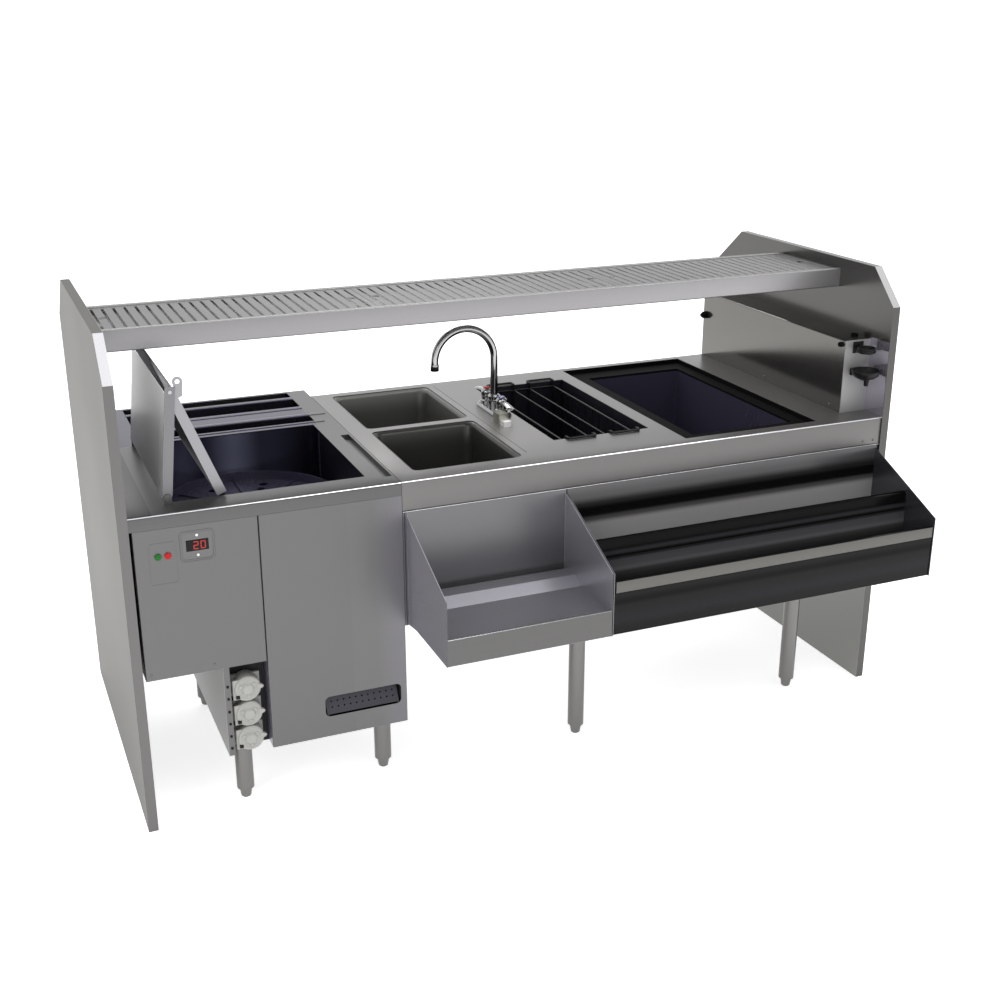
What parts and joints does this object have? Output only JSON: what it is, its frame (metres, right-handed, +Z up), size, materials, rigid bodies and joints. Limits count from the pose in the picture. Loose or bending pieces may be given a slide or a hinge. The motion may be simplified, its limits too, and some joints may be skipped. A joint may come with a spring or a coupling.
{
  "type": "bar sink with ice bin",
  "caption": "Under-bar cocktail station with a glass washer, deep sinks with a gooseneck tap, bottle well, ice bin, speed rails and a slotted drainer shelf between side panels.",
  "frame": {"origin": "centre of the underside of the bounding box, on the floor", "axes": "+X along the station to the ice bin's end, +Y to the back, +Z up"},
  "size_m": [1.98, 1.116, 1.143],
  "materials": {
    "satin_steel": "satin stainless steel",
    "deep_drawn_steel": "deep-drawn stainless steel, dull inside",
    "dark_polished_steel": "polished stainless steel that mirrors dark surroundings",
    "painted_steel": "dark grey paint",
    "chrome_plate": "polished chrome plate",
    "black_plastic": "black moulded plastic",
    "dark_plastic": "dark blue-grey moulded plastic",
    "foam_casing": "dark casing over rigid foam",
    "grey_plastic": "pale grey moulded plastic",
    "green_plastic": "clear green cap",
    "red_plastic": "clear red cap",
    "white_plastic": "white key",
    "coated_wire": "black coating on steel wire",
    "black_rubber": "black rubber"
  },
  "bodies": {
    "station": {"left_side_panel": "satin_steel", "right_side_panel": "satin_steel", "over_shelf": "satin_steel", "washer_upper_body": "satin_steel", "washer_lower_body": "satin_steel", "washer_deck": "satin_steel", "washer_control_panel": "satin_steel", "washer_front_panel": "satin_steel", "display_module": "black_plastic", "wash_tub": "deep_drawn_steel", "spray_arm": "satin_steel", "wash_pump": "painted_steel", "turntable_drive": "painted_steel", "pump_niche": "black_plastic", "pump_bodies": "grey_plastic", "pump_covers": "grey_plastic", "pump_fittings": "black_plastic", "leg_tubes": "satin_steel", "levelling_feet": "satin_steel", "station_deck": "satin_steel", "station_frame": "painted_steel", "rear_sink": "deep_drawn_steel", "front_sink": "deep_drawn_steel", "drain_fittings": "chrome_plate", "faucet_base": "chrome_plate", "valve_bodies": "chrome_plate", "bottle_well": "deep_drawn_steel", "ice_bin": "deep_drawn_steel", "bin_insulation": "foam_casing", "bin_gasket": "black_rubber", "bottle_tray": "satin_steel", "rail_end_plates": "dark_polished_steel", "upper_rail": "dark_polished_steel", "lower_rail": "dark_polished_steel", "guard_strip": "satin_steel", "utility_chase": "satin_steel", "gun_holder": "black_plastic", "drip_cup": "black_plastic", "hose_grommets": "black_rubber", "panel_screws": "chrome_plate"},
    "lid_left": {"lid_left_leaf": "satin_steel", "lid_pins": "chrome_plate"},
    "lid_right": {"lid_right_leaf": "satin_steel"},
    "spout": {"gooseneck_spout": "chrome_plate", "aerator": "black_plastic"},
    "hot_lever": {"hot_handle": "chrome_plate"},
    "cold_lever": {"cold_handle": "chrome_plate"},
    "turntable": {"glass_turntable": "dark_plastic"},
    "rotor_top": {"pump_rotor_top": "grey_plastic"},
    "rotor_middle": {"pump_rotor_middle": "grey_plastic"},
    "rotor_bottom": {"pump_rotor_bottom": "grey_plastic"},
    "scrap_drawer": {"scrap_tray": "dark_polished_steel"},
    "basket": {"wire_basket": "coated_wire"},
    "insert_left": {"drainer_insert_left": "satin_steel"},
    "insert_middle": {"drainer_insert_middle": "satin_steel"},
    "insert_right": {"drainer_insert_right": "satin_steel"},
    "start_key": {"start_button": "green_plastic"},
    "stop_key": {"stop_button": "red_plastic"},
    "set_key": {"set_button": "white_plastic"},
    "clear_key": {"clear_button": "white_plastic"}
  },
  "joints": [
    {"name": "lid_left_hinge", "type": "hinge", "parent": "station", "child": "lid_left", "pos_m": [-0.872, -0.01, 0.775], "axis": [0, 1, 0], "range_deg": [0, 84]},
    {"name": "lid_right_hinge", "type": "hinge", "parent": "lid_left", "child": "lid_right", "pos_m": [-0.84744, -0.01, 1.00871], "axis": [0, -1, 0], "range_deg": [0, 152.6]},
    {"name": "spout_swivel", "type": "hinge", "parent": "station", "child": "spout", "pos_m": [0.054, 0.149, 0.8], "axis": [0, 0, 1], "range_deg": [-90, 90]},
    {"name": "hot_turn", "type": "hinge", "parent": "station", "child": "hot_lever", "pos_m": [0.054, 0.2, 0.795], "axis": [0, 0, 1], "range_deg": [0, 90]},
    {"name": "cold_turn", "type": "hinge", "parent": "station", "child": "cold_lever", "pos_m": [0.054, 0.098, 0.795], "axis": [0, 0, -1], "range_deg": [0, 90]},
    {"name": "turntable_spin", "type": "hinge", "parent": "station", "child": "turntable", "pos_m": [-0.643, -0.011, 0.65], "axis": [0, 0, 1], "continuous": true},
    {"name": "rotor_top_spin", "type": "hinge", "parent": "station", "child": "rotor_top", "pos_m": [-0.74, -0.266, 0.312], "axis": [0, 1, 0], "continuous": true},
    {"name": "rotor_middle_spin", "type": "hinge", "parent": "station", "child": "rotor_middle", "pos_m": [-0.74, -0.266, 0.248], "axis": [0, 1, 0], "continuous": true},
    {"name": "rotor_bottom_spin", "type": "hinge", "parent": "station", "child": "rotor_bottom", "pos_m": [-0.74, -0.266, 0.185], "axis": [0, 1, 0], "continuous": true},
    {"name": "scrap_slide", "type": "slide", "parent": "station", "child": "scrap_drawer", "axis": [0, -1, 0], "range_m": [0, 0.25]},
    {"name": "basket_lift", "type": "slide", "parent": "station", "child": "basket", "axis": [0, 0, 1], "range_m": [0, 0.25]},
    {"name": "insert_left_lift", "type": "slide", "parent": "station", "child": "insert_left", "axis": [0, 0, 1], "range_m": [0, 0.08]},
    {"name": "insert_middle_lift", "type": "slide", "parent": "station", "child": "insert_middle", "axis": [0, 0, 1], "range_m": [0, 0.08]},
    {"name": "insert_right_lift", "type": "slide", "parent": "station", "child": "insert_right", "axis": [0, 0, 1], "range_m": [0, 0.08]},
    {"name": "start_press", "type": "slide", "parent": "station", "child": "start_key", "axis": [0, 1, 0], "range_m": [0, 0.003], "stiffness_N_per_m": 300, "springref_m": -0.002},
    {"name": "stop_press", "type": "slide", "parent": "station", "child": "stop_key", "axis": [0, 1, 0], "range_m": [0, 0.003], "stiffness_N_per_m": 300, "springref_m": -0.002},
    {"name": "set_press", "type": "slide", "parent": "station", "child": "set_key", "axis": [0, 1, 0], "range_m": [0, 0.0015], "stiffness_N_per_m": 300, "springref_m": -0.002},
    {"name": "clear_press", "type": "slide", "parent": "station", "child": "clear_key", "axis": [0, 1, 0], "range_m": [0, 0.0015], "stiffness_N_per_m": 300, "springref_m": -0.002}
  ],
  "couplings": [
    {"joint": "lid_right_hinge", "follows": "lid_left_hinge", "ratio": 1.8167}
  ]
}
